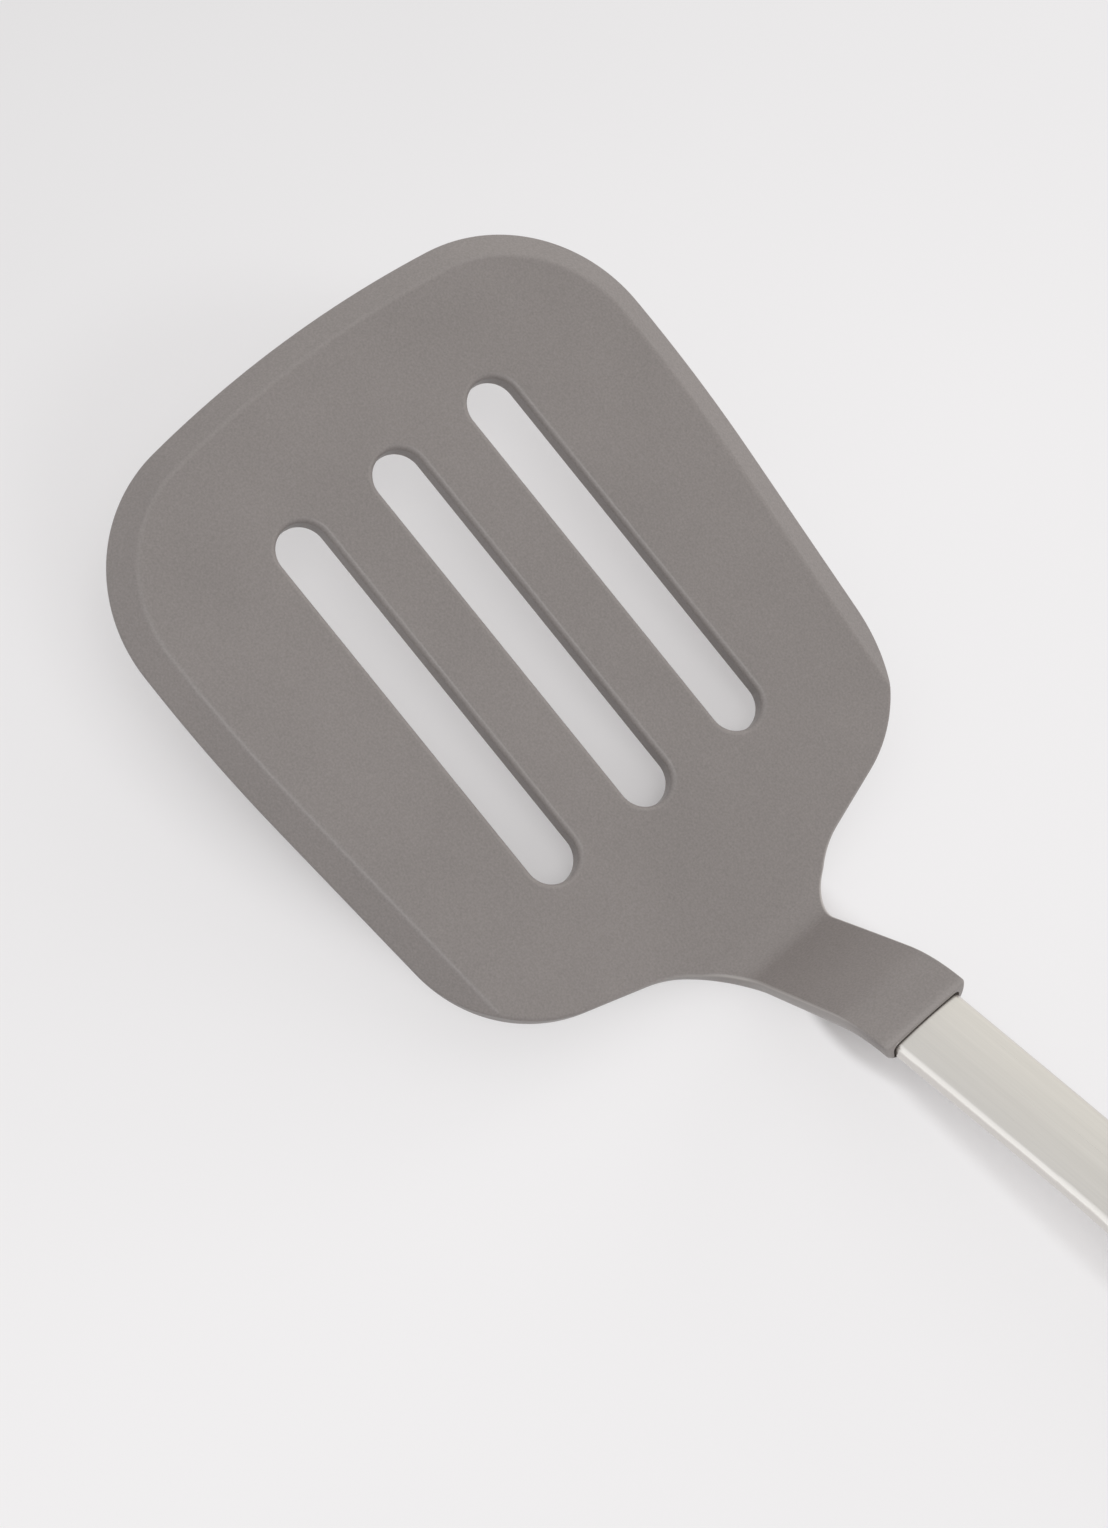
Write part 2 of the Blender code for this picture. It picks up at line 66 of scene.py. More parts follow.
# Spine, from the front edge to the end of the handle
BLADE_LENGTH = 0.1084
HEEL_RADIUS = 0.0105
HEEL_BEND = 59.1
NECK_LENGTH = 0.0179
CREST_RADIUS = 0.0146
CREST_BEND = 28.7
COLLAR_TAIL = 0.0012
HANDLE_LEAD = 0.020
ARCH_RADIUS = 0.425
ARCH_BEND = 19.9
GRIP_TAIL = 0.040

# Outline of the head: where its edges would meet, and the radii that round those corners
BLADE_WIDTH = 0.0960
FRONT_DRAW_IN = 0.0005
REAR_DRAW_IN = 0.0050
CROWN_RISE = 0.0066
CROWN_RADIUS = 0.192
CROWN_TIP = -0.0019
FRONT_CORNER_RADIUS = 0.0253
WIDEST_STATION = 0.0407
SIDE_RADIUS = 0.264
REAR_SETBACK = 0.0109
REAR_CORNER_RADIUS = 0.0224
NECK_ROOT_RADIUS = 0.0157
COLLAR_CORNER_RADIUS = 0.0006

# Section of the head
BLADE_THICKNESS = 0.0033
COLLAR_WALL = 0.0008
COLLAR_SIDE_WALL = 0.0016
NECK_RAMP = 0.012
NECK_BLEND = 0.006
NECK_UNDER_ROUND = 0.0036
NECK_ROUND_SHARE = 0.79
BEVEL_WIDTH = 0.0040
FRONT_EDGE_THICKNESS = 0.0008
BEVEL_LEAST_FACING = 0.2
TOP_EDGE_CUT = 0.0003
COLLAR_EDGE_CUT = 0.00015
EDGE_EASE = 0.00035
CREASE_EASE = 0.0005
UNDER_EDGE_RADIUS = 0.0004
FLAT_RIM = 0.0001
# Painted highlights on the silicone, as how much they lighten it: on the neck's sides, on the bevel's
# inner line, on the slots' lips and on the collar's end, and how far back from the end that last one
# reaches
NECK_SIDE_HIGHLIGHT = 0.50
CREASE_HIGHLIGHT = 0.11
LIP_HIGHLIGHT = 0.09
COLLAR_END_HIGHLIGHT = 0.26
COLLAR_END_HIGHLIGHT_LENGTH = 0.0017

# Slots
SLOT_COUNT = 3
SLOT_PITCH = 0.01845
SLOT_WIDTH = 0.0081
SLOT_FRONT_MARGIN = 0.0217
SLOT_REAR_MARGIN = 0.0227
SLOT_LIP_RADIUS = 0.0009

# Handle bar
BAR_WIDTH = 0.0124
BAR_THICKNESS = 0.0032
BAR_EDGE_RADIUS = 0.0009
BAR_CROWN = 0.0003
TANG_STEP = 0.0014
TANG_TOP_STEP = 0.00055
TANG_CORNER_RADIUS = 0.0015
TANG_SHOULDER = 0.0012
SHOULDER_RADIUS = 0.0010
LAP_LENGTH = 0.0150
LAP_START = 0.0014
WAIST_WIDTH = 0.0118
GRIP_WIDTH = 0.0200
FLARE_START = 0.036
FLARE_LENGTH = 0.110
FLARE_RADIUS = 0.30
BUTT_FLAT = 0.0016
HANG_HOLE_LENGTH = 0.0140
HANG_HOLE_WIDTH = 0.0062
HANG_HOLE_SETBACK = 0.0165
HANG_HOLE_LIP = 0.0005

# Core plate and rivets, as far as the handle has to make room for them
CORE_THICKNESS = 0.0010
CORE_UNDERSIDE = 0.0010
RIVET_COUNT = 2
RIVET_HOLE_RADIUS = 0.00225
RIVET_SPACING = 0.0074
MOULD_GAP = 0.0003
STEEL_GAP = 0.00025

# The flat blank's own directions
ALONG = (1.0, 0.0, 0.0)
ACROSS = (0.0, 1.0, 0.0)

# How finely curves are divided
CHORD_ERROR = 0.000004
ROUND_STEPS = 6
EASE_STEPS = 4
NECK_SLICE = 0.0007
ARCH_SLICE = 0.0030
CROWN_SLICES = 21
LEAST_ARC_STEPS = 2
CUT_OVERRUN = 0.002
SLICE_TOLERANCE = 1e-6
SHARPEST_SMOOTH_ANGLE = 40.0

# The photograph's camera: where it stands, the point on the table it looks at, and its tilt to one side
CAMERA_EYE = (0.08055, -0.17980, 0.45323)
CAMERA_AIM = (-0.11001, -0.00214, 0.0)
CAMERA_ROLL = -0.34
CAMERA_LENS = 82.48
CAMERA_SENSOR = 36.0
CAMERA_NEAR_LIMIT = 0.01

# Studio: a soft lamp beside the camera, a low far one at the back, and a pale room, lighter at the back
LAMP_DISTANCE = 1.4
LAMP_SIZE = 0.36
LAMP_POWER = 3.6
LAMP_RIGHT = 3.4
LAMP_UP = 2.5
BACK_LAMP_FROM = (-0.10, 0.96, 0.27)
BACK_LAMP_SPREAD = 24.0
BACK_LAMP_POWER = 0.567
BACK_FACING = (-0.40, 0.92, 0.0)
ROOM_COLOUR = (1.0, 0.995, 0.995)
ROOM_LIGHT = 0.73
ROOM_LIGHT_CHANGE = 0.46
HORIZON_MIRRORED = 0.7
HORIZON_SHARPNESS = 5.0
WINDOW_FACING = (-0.20, -0.75, 0.63)
WINDOW_EDGE = 0.42
WINDOW_HEART = 0.95
WINDOW_MIRRORED = 0.75
FLOOR_RADIUS = 3.0
FLOOR_SEGMENTS = 64
FLOOR_DROP = 0.0002
# Painted shade on the floor towards the front: along x, from where it is darkest to where it ends
FLOOR_SHADE_FRONT = -0.40
FLOOR_SHADE_END = -0.07
# How much of the floor the camera and mirrors see as its own glow, a painted light that whitens its
# shadows
WHITENED = 0.70

# Ovals under the blade, the neck and the handle in which the floor keeps more of its shadow, as
# (middle, half lengths, share of the whitening)
SHADED_OVALS = (
    ((-0.147, 0.0, 0.0), (0.060, 0.039, 1.0), 0.36),
    ((-0.048, 0.003, 0.0), (0.011, 0.006, 1.0), 0.0),
    ((0.010, 0.0055, 0.0), (0.085, 0.0075, 1.0), 0.05),
)
SHADED_OVAL_FADE = 1.4

# Colours of the walls that the steel mirrors, as (how far towards +Y they lie, colour)
WALLS = (
    (0.0, (0.67, 0.675, 0.68)),
    (0.2, (0.635, 0.64, 0.645)),
    (0.6, (1.12, 1.105, 1.045)),
    (0.85, (0.80, 0.785, 0.75)),
)

# Finishes: the colours at a pattern's two ends, how fine the pattern is per metre, and what it changes
PATTERN_ENDS = (0.3, 0.7)
SILICONE_DARK = (0.198, 0.177, 0.168)
SILICONE_LIGHT = (0.257, 0.230, 0.219)
# The lighter colour of the silicone's painted highlights
SILICONE_PAINTED_HIGHLIGHT = (0.460, 0.429, 0.410)
SILICONE_GRAIN = 3200.0
SILICONE_CLOUD = 55.0
SILICONE_CLOUD_SHARE = 0.3
SILICONE_ROUGHNESS = (0.38, 0.50)
SILICONE_SHINE = 0.75
SILICONE_BUMP = 0.12
SILICONE_BUMP_DEPTH = 0.0001
STEEL_DARK = (0.683, 0.659, 0.628)
STEEL_LIGHT = (0.747, 0.721, 0.686)
STEEL_STREAKS = (60.0, 5200.0, 5200.0)
STEEL_BANDS = (14.0, 700.0, 700.0)
STEEL_BAND_SHARE = 0.5
STEEL_ROUGHNESS = (0.26, 0.31)
STEEL_BUMP = 0.035
STEEL_BUMP_DEPTH = 0.00003
STEEL_ANISOTROPY = 0.6
STEEL_ANISOTROPY_TURN = 0.25
INNER_STEEL_ROUGHNESS = (0.34, 0.50)
ROLLED_DARK = (0.36, 0.36, 0.37)
ROLLED_LIGHT = (0.48, 0.48, 0.49)
ROLLED_MARKS = (60.0, 900.0, 900.0)
PRESSED_DARK = (0.48, 0.47, 0.45)
PRESSED_LIGHT = (0.60, 0.59, 0.57)
PRESSED_MARKS = (700.0, 700.0, 700.0)
# The paper's dark end serves both its grain and the painted shade towards the front
PAPER_ENDS = (0.1, 0.9)
PAPER_DARK = (0.740, 0.730, 0.733)
PAPER_LIGHT = (0.886, 0.874, 0.879)
PAPER_GRAIN = 9.0
PAPER_GRAIN_SHARE = 0.2
PAPER_ROUGHNESS = 0.9
PAPER_SHINE = 0.1

# Widths, thicknesses and stations that follow from those above
FRONT_WIDTH = BLADE_WIDTH - 2 * FRONT_DRAW_IN
REAR_WIDTH = BLADE_WIDTH - 2 * REAR_DRAW_IN
NECK_WIDTH = BAR_WIDTH + 2 * COLLAR_SIDE_WALL
COLLAR_THICKNESS = BAR_THICKNESS + 2 * COLLAR_WALL
TANG_WIDTH = BAR_WIDTH - 2 * TANG_STEP
BUTT_CORNER_RADIUS = (GRIP_WIDTH - BUTT_FLAT) / 2
HEEL_LENGTH = HEEL_RADIUS * math.radians(HEEL_BEND)
CREST_LENGTH = CREST_RADIUS * math.radians(CREST_BEND)
ARCH_LENGTH = ARCH_RADIUS * math.radians(ARCH_BEND)
HEEL_END = BLADE_LENGTH + HEEL_LENGTH
CREST_START = HEEL_END + NECK_LENGTH
COLLAR_END = CREST_START + CREST_LENGTH + COLLAR_TAIL
ARCH_START = COLLAR_END + HANDLE_LEAD
ARCH_END = ARCH_START + ARCH_LENGTH
HANDLE_END = ARCH_END + GRIP_TAIL
TANG_START = HEEL_END + LAP_START
LAP_END = TANG_START + LAP_LENGTH
SLOT_REAR = BLADE_LENGTH - SLOT_REAR_MARGIN
BAR_UNDERSIDE = COLLAR_WALL
BAR_TOP = BAR_UNDERSIDE + BAR_THICKNESS
TANG_UNDERSIDE = CORE_UNDERSIDE + CORE_THICKNESS + STEEL_GAP
TANG_TOP = BAR_TOP - TANG_TOP_STEP

# The head's half outline from front to collar, as (s, y, corner radius)
WIDEST_CORNER = (WIDEST_STATION, BLADE_WIDTH / 2)
REAR_CORNER = (BLADE_LENGTH - REAR_SETBACK, REAR_WIDTH / 2)
HEAD_CORNERS = (
    (CROWN_TIP, 0.0, CROWN_RADIUS),
    (CROWN_TIP + CROWN_RISE, FRONT_WIDTH / 2, FRONT_CORNER_RADIUS),
    (*WIDEST_CORNER, SIDE_RADIUS),
    (*REAR_CORNER, REAR_CORNER_RADIUS),
    (BLADE_LENGTH, NECK_WIDTH / 2, NECK_ROOT_RADIUS),
    (COLLAR_END, NECK_WIDTH / 2, COLLAR_CORNER_RADIUS),
)

# The bar's half outline from tang to butt
TANG_REAR = LAP_END + TANG_SHOULDER
BAR_CORNERS = (
    (TANG_START, TANG_WIDTH / 2, TANG_CORNER_RADIUS),
    (TANG_REAR, TANG_WIDTH / 2, SHOULDER_RADIUS),
    (TANG_REAR + TANG_STEP, BAR_WIDTH / 2, SHOULDER_RADIUS),
    (COLLAR_END + FLARE_START, WAIST_WIDTH / 2, FLARE_RADIUS),
    (COLLAR_END + FLARE_START + FLARE_LENGTH, GRIP_WIDTH / 2, FLARE_RADIUS),
    (HANDLE_END, GRIP_WIDTH / 2, BUTT_CORNER_RADIUS),
)


# Numbers and outlines


def spread(start, end, count):
    """Evenly spaced values from start to end, both included."""
    return [start + (end - start) * i / (count - 1) for i in range(count)]


def spaced(start, end, step):
    """Evenly spaced values from start to end, no further apart than the step."""
    return spread(start, end, math.ceil((end - start) / step) + 1)


def smooth_step(value, start, end):
    """Rises from 0 at start to 1 at end, level at both."""
    t = min(1.0, max(0.0, (value - start) / (end - start)))
    return t * t * (3 - 2 * t)


def mirrored(half):
    """Closed corner list, counter-clockwise from above, from a half outline on the +y side."""
    under = [(s, -y, radius) for s, y, radius in half]
    over = [corner for corner in reversed(half) if corner[1] > 0]
    return under + over


def rounded(corners):
    """Points and outward normals of a closed outline whose corners (s, y, radius) are turned into arcs.

    Where the arcs at an edge's two ends don't both fit on it, each is cut back in the same proportion.
    """
    count = len(corners)
    places = [Vector(corner[:2]) for corner in corners]
    edges = [places[(i + 1) % count] - place for i, place in enumerate(places)]
    turns = [math.atan2(edges[i - 1].cross(edges[i]), edges[i - 1].dot(edges[i])) for i in range(count)]
    reaches = [corner[2] * math.tan(abs(turn) / 2) for corner, turn in zip(corners, turns)]
    room = [min(1.0, edges[i].length / (reaches[i] + reaches[(i + 1) % count])) for i in range(count)]
    points, normals = [], []
    for i, (corner, turn) in enumerate(zip(places, turns)):
        fit = min(room[i - 1], room[i])
        radius = corners[i][2] * fit
        before = edges[i - 1].normalized()
        start = corner - before * reaches[i] * fit
        normal = Vector((before.y, -before.x))
        out = math.copysign(radius, turn)
        centre = start - normal * out
        step = 2 * math.acos(1 - CHORD_ERROR / radius)
        steps = max(LEAST_ARC_STEPS, math.ceil(abs(turn) / step))
        for k in range(steps + 1):
            turned = Matrix.Rotation(turn * k / steps, 2) @ normal
            points.append(centre + turned * out)
            normals.append(turned)
    return points, normals


def half_turn(start, radius):
    """Unit vectors round half a circle, from a start angle."""
    count = math.ceil(math.pi / 2 / math.acos(1 - CHORD_ERROR / radius))
    return [Vector((math.cos(start + a), math.sin(start + a))) for a in spread(0, math.pi, count + 1)]


def obround(s_front, s_rear, width):
    """Points and outward normals of a slot with round ends, along the middle line."""
    half = width / 2
    rear, front = half_turn(-math.pi / 2, half), half_turn(math.pi / 2, half)
    points = [Vector((s_rear - half, 0)) + n * half for n in rear]
    points += [Vector((s_front + half, 0)) + n * half for n in front]
    return points, rear + front


def quarter_round(radius, steps):
    """Pairs (out, up) round a quarter circle: out falls from the radius to nought as up rises to it."""
    pairs = []
    for angle in spread(0, math.pi / 2, steps + 1):
        pairs.append((radius * (1 - math.sin(angle)), radius * (1 - math.cos(angle))))
    return pairs


def level(points, normals, grow, height):
    """One loop of an outline, moved outwards by grow, at a height."""
    return [(p.x + n.x * grow, p.y + n.y * grow, height) for p, n in zip(points, normals)]


def eased(before, corner, after):
    """Points of a curve that rounds a corner off, from the point before it to the one after."""
    curve = []
    for t in spread(0, 1, EASE_STEPS + 1):
        curve.append(before * (1 - t) ** 2 + corner * 2 * t * (1 - t) + after * t**2)
    return curve


# Blanks


def flat_solid(name, *stacks, highlight_amounts=()):
    """A mesh object whose bodies are stacks of loops, lowest first, closed by a face below and one above.

    Where it is given, the last argument says for each point of each loop how much painted highlight
    lightens the finish there.
    """
    shape = bmesh.new()
    painted_highlight = shape.loops.layers.float.new("painted_highlight")
    for loops in stacks:
        rows = [[shape.verts.new(point) for point in loop] for loop in loops]
        count = len(rows[0])
        for low, high in zip(rows, rows[1:]):
            for i in range(count):
                j = (i + 1) % count
                shape.faces.new((low[i], low[j], high[j], high[i]))
        shape.faces.new(list(reversed(rows[0])))
        shape.faces.new(rows[-1])
        for row, amounts in zip(rows, highlight_amounts):
            for vert, amount in zip(row, amounts):
                for corner in vert.link_loops:
                    corner[painted_highlight] = amount
    mesh = bpy.data.meshes.new(name)
    shape.to_mesh(mesh)
    shape.free()
    blank = bpy.data.objects.new(name, mesh)
    bpy.context.scene.collection.objects.link(blank)
    return blank


def plain_mesh(piece):
    """Turns what a piece's modifiers make into its own mesh."""
    graph = bpy.context.evaluated_depsgraph_get()
    mesh = bpy.data.meshes.new_from_object(
        piece.evaluated_get(graph), preserve_all_data_layers=True, depsgraph=graph
    )
    piece.modifiers.clear()
    piece.data = mesh


def cut(blank, cutter):
    """Takes the cutter's shape out of a blank, and clears the cutter away."""
    modifier = blank.modifiers.new("cut", "BOOLEAN")
    modifier.operation = "DIFFERENCE"
    modifier.solver = "EXACT"
    modifier.object = cutter
    plain_mesh(blank)
    bpy.data.objects.remove(cutter)


def slice_blank(blank, stations, direction):
    """Adds edges square to a direction at each station along it, so that the blank can bend there."""
    shape = bmesh.new()
    shape.from_mesh(blank.data)
    bmesh.ops.triangulate(shape, faces=shape.faces)
    for station in stations:
        everything = shape.verts[:] + shape.edges[:] + shape.faces[:]
        place = Vector(direction) * station
        bmesh.ops.bisect_plane(
            shape, geom=everything, dist=SLICE_TOLERANCE, plane_co=place, plane_no=direction
        )
    shape.to_mesh(blank.data)
    shape.free()


def bevel_at(point, normal):
    """How wide and how deep the working edge's bevel is at a point of the head's outline.

    The bevel's inner line runs straight on past the rear corner, so the bevel dies out where the corner
    turns in across it. Behind that only a small round is left on the edge.
    """
    side_start, side_end = Vector(WIDEST_CORNER), Vector(REAR_CORNER)
    side = (side_end - side_start).normalized()
    outward = Vector((-side.y, side.x))
    recess, facing = 0.0, 1.0
    if point.x > (side_start.x + side_end.x) / 2:
        recess = (side_end - Vector((point.x, abs(point.y)))).dot(outward)
        facing = Vector((normal.x, abs(normal.y))).dot(outward)
    width = (BEVEL_WIDTH - recess) / max(facing, BEVEL_LEAST_FACING)
    depth = (BEVEL_WIDTH - recess) * (BLADE_THICKNESS - FRONT_EDGE_THICKNESS) / BEVEL_WIDTH
    if point.x > BLADE_LENGTH:
        towards_end = smooth_step(point.x, HEEL_END, COLLAR_END - COLLAR_CORNER_RADIUS)
        cut_left = TOP_EDGE_CUT + (COLLAR_EDGE_CUT - TOP_EDGE_CUT) * towards_end
        return cut_left, cut_left
    return max(width, TOP_EDGE_CUT), max(depth, TOP_EDGE_CUT)


def neck_share(point):
    """Nought on the blade and one on the neck, with a blend between them."""
    return smooth_step(point.x, BLADE_LENGTH - NECK_BLEND, HEEL_END)


def under_round(point, normal):
    """How far the underside draws in at a point of the head's outline, and how high its round reaches.

    The blade's underside has a small round all along its edge. The neck's underside is rounded across, so
    there it draws in towards the middle line.
    """
    neck = neck_share(point)
    across = Vector((0, NECK_UNDER_ROUND * point.y / (NECK_WIDTH / 2)))
    draw_in = normal * UNDER_EDGE_RADIUS * (1 - neck) + across * neck
    height = UNDER_EDGE_RADIUS * (1 - neck) + BLADE_THICKNESS * NECK_ROUND_SHARE * neck
    return draw_in, height


def head_section(point, normal):
    """The head's edge at a point of its outline, from the underside over the bevel to the top face."""
    draw_in, height = under_round(point, normal)
    section = [(point - draw_in - normal * FLAT_RIM, 0.0)]
    for out, up in quarter_round(1.0, ROUND_STEPS):
        section.append((point - draw_in * out, height * up))
    width, depth = bevel_at(point, normal)
    rim, crease = Vector((0, BLADE_THICKNESS - depth)), Vector((width, BLADE_THICKNESS))
    slope = crease - rim
    rim_ease, crease_ease = min(EDGE_EASE, slope.length), min(CREASE_EASE, slope.length / 2)
    inner = crease + Vector((crease_ease, 0))
    line = eased(rim - Vector((0, rim_ease)), rim, rim + slope.normalized() * rim_ease / 2)
    line += eased(crease - slope.normalized() * crease_ease, crease, inner)
    line.append(inner + Vector((FLAT_RIM, 0)))
    section += [(point - normal * inset, up) for inset, up in line]
    return [(place.x, place.y, up) for place, up in section]


def head_painted_highlight(point, normal):
    """How much painted highlight lightens the finish along the section at a point of the head's outline.

    The highlight is painted on the neck's sides, most along their upper edge, and a little along the
    front bevel's inner line. The collar's end gets its painted highlight later, when the blank has been
    sliced.
    """
    neck = neck_share(point)
    edge = smooth_step(point.x, BLADE_LENGTH - REAR_SETBACK, BLADE_LENGTH + NECK_BLEND)
    side = [NECK_SIDE_HIGHLIGHT * neck * (1 - out) for out, _ in quarter_round(1.0, ROUND_STEPS)]
    rim = [max(NECK_SIDE_HIGHLIGHT * neck, edge * amount) for amount in spread(0, 1, EASE_STEPS + 1)]
    front = CREASE_HIGHLIGHT * max(0.0, -normal.x)
    crease = []
    for t in spread(0, 1, EASE_STEPS + 1):
        crease.append(edge * (1 - t) + (1 - edge) * front * math.sin(math.pi * t))
    return [0.0] + side + rim + crease + [0.0]


def head_blank():
    """The head in the flat, with its bevel and rounded edges, thickening from the blade to the collar."""
    points, normals = rounded(mirrored(HEAD_CORNERS))
    sections = [head_section(point, normal) for point, normal in zip(points, normals)]
    highlight_amounts = [head_painted_highlight(point, normal) for point, normal in zip(points, normals)]
    blank = flat_solid("turner_head", list(zip(*sections)), highlight_amounts=list(zip(*highlight_amounts)))
    stations = spaced(BLADE_LENGTH - NECK_RAMP, COLLAR_END - COLLAR_CORNER_RADIUS, NECK_SLICE)
    slice_blank(blank, stations, ALONG)
    # Painted highlight: it fades out along the crest, and a painted highlight is added along the collar's
    # end
    corners = blank.data.attributes["painted_highlight"].data
    for corner, loop in zip(corners, blank.data.loops):
        station = blank.data.vertices[loop.vertex_index].co.x
        corner.value *= 1 - smooth_step(station, CREST_START, COLLAR_END - COLLAR_TAIL)
        corner.value += COLLAR_END_HIGHLIGHT * smooth_step(station, COLLAR_END - COLLAR_END_HIGHLIGHT_LENGTH, COLLAR_END)
    for vert in blank.data.vertices:
        thickened = smooth_step(vert.co.x, BLADE_LENGTH - NECK_RAMP, COLLAR_END)
        vert.co.z *= 1 + thickened * (COLLAR_THICKNESS / BLADE_THICKNESS - 1)
    return blank


def slot_punch():
    """One slot with its rounded lips, on the middle line."""
    outline = obround(SLOT_FRONT_MARGIN, SLOT_REAR, SLOT_WIDTH)
    loops = [level(*outline, UNDER_EDGE_RADIUS, -CUT_OVERRUN)]
    for out, up in quarter_round(UNDER_EDGE_RADIUS, EASE_STEPS):
        loops.append(level(*outline, out, up))
    # Painted highlight along the top of each slot's lip
    amounts = [0.0] * len(loops)
    amounts += [LIP_HIGHLIGHT * math.sin(math.pi * t * t) for t in spread(0, 1, ROUND_STEPS + 1)]
    for down, out in quarter_round(SLOT_LIP_RADIUS, ROUND_STEPS):
        loops.append(level(*outline, out, BLADE_THICKNESS - down))
    loops.append(level(*outline, SLOT_LIP_RADIUS, BLADE_THICKNESS + CUT_OVERRUN))
    return flat_solid("slot_punch", loops, highlight_amounts=[[amount] * len(loops[0]) for amount in amounts])


def bar_blank(name, gap):
    """The handle bar in the flat with its tang milled, or with a gap the hollow in the head for it."""
    outline = rounded(mirrored(BAR_CORNERS))
    loops = []
    for inset, up in quarter_round(BAR_EDGE_RADIUS, ROUND_STEPS):
        loops.append(level(*outline, gap - inset, BAR_UNDERSIDE - gap + up))
    for down, inset in quarter_round(BAR_EDGE_RADIUS, ROUND_STEPS):
        loops.append(level(*outline, gap - inset, BAR_TOP + gap - down))
    blank = flat_solid(name, loops)
    cut(blank, flat_solid("lap", *lap_loops(gap)))
    crest = spaced(CREST_START, ARCH_START, NECK_SLICE)
    arch = spaced(ARCH_START, ARCH_END, ARCH_SLICE)
    slice_blank(blank, crest + arch, ALONG)
    crown_bar(blank)
    return blank


def box_loops(front, rear, half_width, low, high):
    """A plain block as two loops."""
    corners = ((front, -half_width), (rear, -half_width), (rear, half_width), (front, half_width))
    return [[(s, y, h) for s, y in corners] for h in (low, high)]


def lap_loops(gap):
    """What is milled off the tang: below for the core plate, above to fit inside the neck."""
    front, rear = TANG_START - CUT_OVERRUN, LAP_END - gap
    below = box_loops(front, rear, TANG_WIDTH, -CUT_OVERRUN, TANG_UNDERSIDE - gap)
    above = box_loops(front, rear, TANG_WIDTH, TANG_TOP + gap, BAR_TOP + gap + CUT_OVERRUN)
    return below, above


def hang_hole_loops():
    """The hanging hole near the handle's end, eased on both faces."""
    centre = HANDLE_END - HANG_HOLE_SETBACK
    outline = obround(centre - HANG_HOLE_LENGTH / 2, centre + HANG_HOLE_LENGTH / 2, HANG_HOLE_WIDTH)
    loops = [level(*outline, HANG_HOLE_LIP, BAR_UNDERSIDE - CUT_OVERRUN)]
    for out, up in quarter_round(HANG_HOLE_LIP, EASE_STEPS):
        loops.append(level(*outline, out, BAR_UNDERSIDE + up))
    for down, out in quarter_round(HANG_HOLE_LIP, EASE_STEPS):
        loops.append(level(*outline, out, BAR_TOP - down))
    loops.append(level(*outline, HANG_HOLE_LIP, BAR_TOP + CUT_OVERRUN))
    return loops


def crown_bar(blank):
    """Lets the bar's top face fall away a little towards its two edges."""
    slice_blank(blank, spread(-GRIP_WIDTH / 2, GRIP_WIDTH / 2, CROWN_SLICES), ACROSS)
    flare_start = COLLAR_END + FLARE_START
    for vert in blank.data.vertices:
        flare = smooth_step(vert.co.x, flare_start, flare_start + FLARE_LENGTH)
        half_width = (BAR_WIDTH + (GRIP_WIDTH - BAR_WIDTH) * flare) / 2
        share = (vert.co.z - BAR_UNDERSIDE) / BAR_THICKNESS
        vert.co.z -= share * BAR_CROWN * min(1.0, abs(vert.co.y) / half_width) ** 2


def rivet_hole_punch():
    """One rivet hole through the tang, at the origin of the row that the node tree lays out."""
    ring = half_turn(0, RIVET_HOLE_RADIUS)[:-1] + half_turn(math.pi, RIVET_HOLE_RADIUS)[:-1]
    centre = [Vector((0, 0))] * len(ring)
    loops = [level(centre, ring, RIVET_HOLE_RADIUS, height) for height in (0.0, BAR_TOP)]
    return flat_solid("rivet_hole_punch", loops)


# Node trees that shape the blanks


def fill(tree, node, inputs):
    """Sets a node's inputs to values, or links them to sockets."""
    for key, value in inputs.items():
        if isinstance(value, bpy.types.NodeSocket):
            tree.links.new(value, node.inputs[key])
        else:
            node.inputs[key].default_value = value


def add_node(tree, kind, inputs=None, **settings):
    """Adds a node, with its settings, and fills its inputs."""
    node = tree.nodes.new(kind)
    for name, value in settings.items():
        setattr(node, name, value)
    fill(tree, node, inputs or {})
    return node


def work_out(tree, operation, *values):
    """The result of a Math node on numbers or sockets."""
    kind = "ShaderNodeMath"
    return add_node(tree, kind, dict(enumerate(values)), operation=operation).outputs[0]


def work_out_vector(tree, operation, *values):
    """The result of a Vector Math node: a number for a length or a dot product, or else a vector."""
    node = add_node(tree, "ShaderNodeVectorMath", dict(enumerate(values)), operation=operation)
    return node.outputs["Value" if operation in ("LENGTH", "DOT_PRODUCT") else "Vector"]


def new_shape_tree(name, sizes):
    """A geometry tree with the given named inputs. Returns it with its input sockets by name."""
    tree = bpy.data.node_groups.new(name, "GeometryNodeTree")
    for label, kind in (("Geometry", "NodeSocketGeometry"), *sizes):
        tree.interface.new_socket(label, in_out="INPUT", socket_type=kind)
    tree.interface.new_socket("Geometry", in_out="OUTPUT", socket_type="NodeSocketGeometry")
    return tree, tree.nodes.new("NodeGroupInput").outputs


def end_shape_tree(tree, geometry):
    """Makes some geometry a tree's result. Returns the tree."""
    add_node(tree, "NodeGroupOutput", {"Geometry": geometry})
    return tree


# Bends in the order they are made, from the handle's end on. A negative radius bends down.
BEND_SIZES = ("Start", "Radius", "Length")
BENDS = {
    "Arch": (ARCH_START, -ARCH_RADIUS, ARCH_LENGTH),
    "Crest": (CREST_START, -CREST_RADIUS, CREST_LENGTH),
    "Heel": (BLADE_LENGTH, HEEL_RADIUS, HEEL_LENGTH),
}


